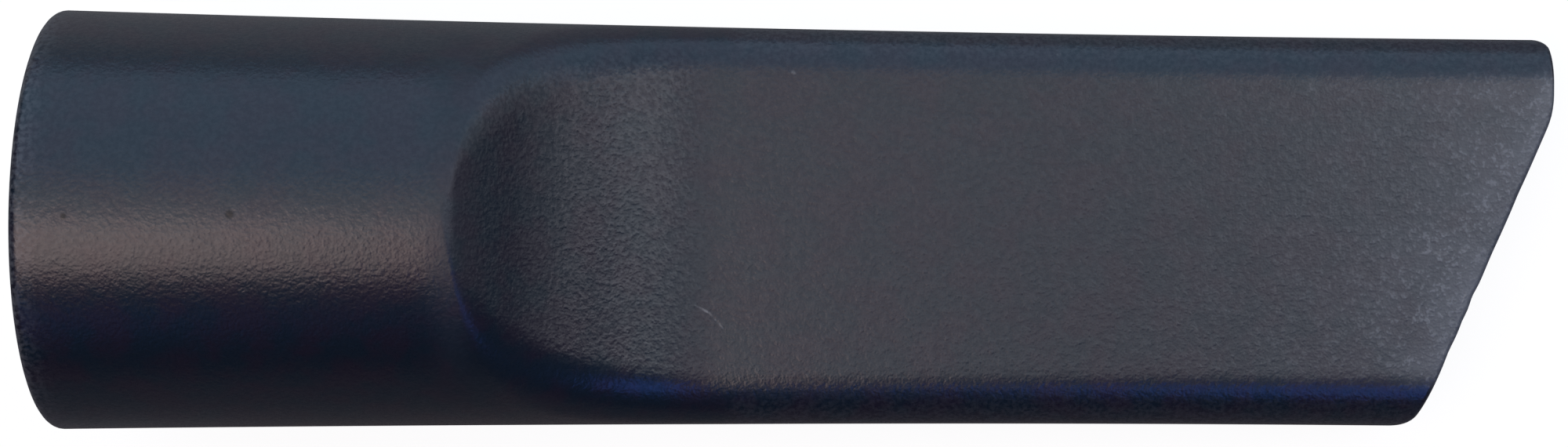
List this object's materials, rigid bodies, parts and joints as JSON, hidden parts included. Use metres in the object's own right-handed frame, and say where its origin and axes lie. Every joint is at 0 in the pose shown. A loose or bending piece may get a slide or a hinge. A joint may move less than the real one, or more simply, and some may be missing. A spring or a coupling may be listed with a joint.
{
  "type": "vacuum crevice nozzle",
  "caption": "One-piece moulded crevice nozzle: a round wand socket runs through sloping ramps into a flat air duct with a slanted tip.",
  "frame": {"origin": "centre of the socket's mouth, on the axis of its bore", "axes": "+X along the bore's axis to the tip, +Y across the flat face to the tip's long side, +Z out of the upper flat face"},
  "size_m": [0.1392, 0.0392, 0.0392],
  "materials": {
    "moulding": "fine spark-eroded grain, dark blue-grey"
  },
  "bodies": {
    "root": {"nozzle": "moulding"}
  },
  "joints": []
}
